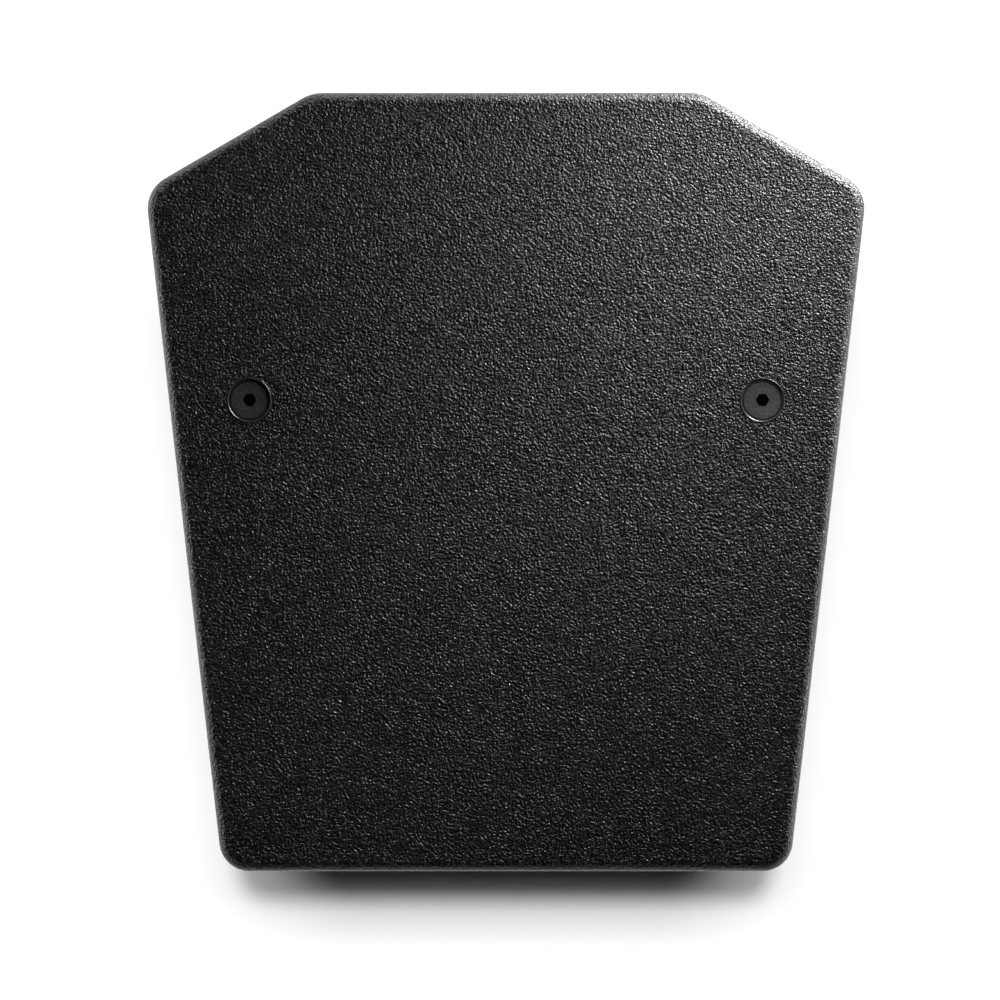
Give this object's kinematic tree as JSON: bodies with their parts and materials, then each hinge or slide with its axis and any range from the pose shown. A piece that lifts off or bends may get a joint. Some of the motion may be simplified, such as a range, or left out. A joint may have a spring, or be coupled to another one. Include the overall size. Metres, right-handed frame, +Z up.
{
  "type": "pa speaker cabinet",
  "caption": "Upright two-way PA speaker cabinet: coated plywood box with tapered sides and a three-facet steel grille, side handles, rigging points, pole socket and rear input plate.",
  "frame": {"origin": "middle of the cabinet's footprint at ground level, under the rubber feet", "axes": "+Z up; the grille faces -Y and the input plate faces +Y; +X is to the right when looking along +Y"},
  "size_m": [0.3584, 0.389, 0.598],
  "materials": {
    "coat": "textured black polyurea coating over birch plywood",
    "birch_ply": "bare birch plywood",
    "grille_steel": "fine black powder coat on perforated sheet",
    "black_steel": "black oxide steel, satin",
    "zinc_steel": "zinc plated",
    "black_rubber": "black rubber",
    "black_plastic": "moulded black plastic",
    "cast_aluminium": "die-cast aluminium, black powder coat",
    "paper_cone": "black treated paper pulp",
    "copper": "enamelled copper wire",
    "spider_cloth": "phenolic cotton cloth",
    "ferrite": "sintered ferrite",
    "titanium": "titanium foil",
    "circuit_board": "glass-fibre board with green mask",
    "capacitor_film": "wrapped film capacitor",
    "ceramic": "cement body",
    "lead_jacket": "jacketed twin lead",
    "damping_felt": "grey polyester felt"
  },
  "bodies": {
    "cabinet": {"top_panel": "coat", "bottom_panel": "coat", "side_panel_left": "coat", "side_panel_right": "coat", "rear_panel": "coat", "baffle": "coat", "window_brace": "birch_ply", "grille_battens": "birch_ply", "grille": "grille_steel", "grille_screws": "black_steel", "rigging_inserts": "zinc_steel", "rigging_screws": "black_steel", "pole_socket": "black_steel", "pole_socket_screws": "black_steel", "feet": "black_rubber", "foot_screws": "zinc_steel", "handle_cup_left": "black_plastic", "handle_cup_right": "black_plastic", "handle_bars": "black_rubber", "handle_screws": "black_steel", "port_tubes": "black_plastic", "woofer_basket": "cast_aluminium", "woofer_gasket": "black_rubber", "woofer_surround": "black_rubber", "spider": "spider_cloth", "woofer_top_plate": "zinc_steel", "woofer_magnet": "ferrite", "woofer_back_plate": "zinc_steel", "woofer_terminals": "copper", "tinsel_leads": "copper", "woofer_screws": "black_steel", "tee_nuts": "zinc_steel", "horn": "black_plastic", "horn_screws": "black_steel", "hf_front_plate": "zinc_steel", "hf_magnet": "ferrite", "hf_top_plate": "zinc_steel", "hf_phase_plug": "black_plastic", "hf_mount_ring": "black_plastic", "hf_rear_cover": "black_plastic", "hf_bolts": "zinc_steel", "input_dish": "black_steel", "input_sockets": "black_plastic", "input_screws": "zinc_steel", "crossover_board": "circuit_board", "crossover_coils": "copper", "crossover_capacitors": "capacitor_film", "crossover_resistors": "ceramic", "crossover_standoffs": "black_plastic", "crossover_terminals": "circuit_board", "input_lead": "lead_jacket", "woofer_lead": "lead_jacket", "hf_lead": "lead_jacket", "lead_clips": "black_plastic", "damping_lining": "damping_felt"},
    "woofer_cone": {"woofer_cone": "paper_cone", "dust_cap": "paper_cone", "voice_coil": "copper"},
    "hf_diaphragm": {"hf_diaphragm": "titanium"}
  },
  "joints": [
    {"name": "cone_travel", "type": "slide", "parent": "cabinet", "child": "woofer_cone", "axis": [0, -1, 0], "range_m": [-0.006, 0.006], "stiffness_N_per_m": 5000, "deforming": ["woofer_surround", "spider", "tinsel_leads"]},
    {"name": "diaphragm_travel", "type": "slide", "parent": "cabinet", "child": "hf_diaphragm", "axis": [0, -1, 0], "range_m": [-0.0004, 0.0004], "stiffness_N_per_m": 2000}
  ]
}
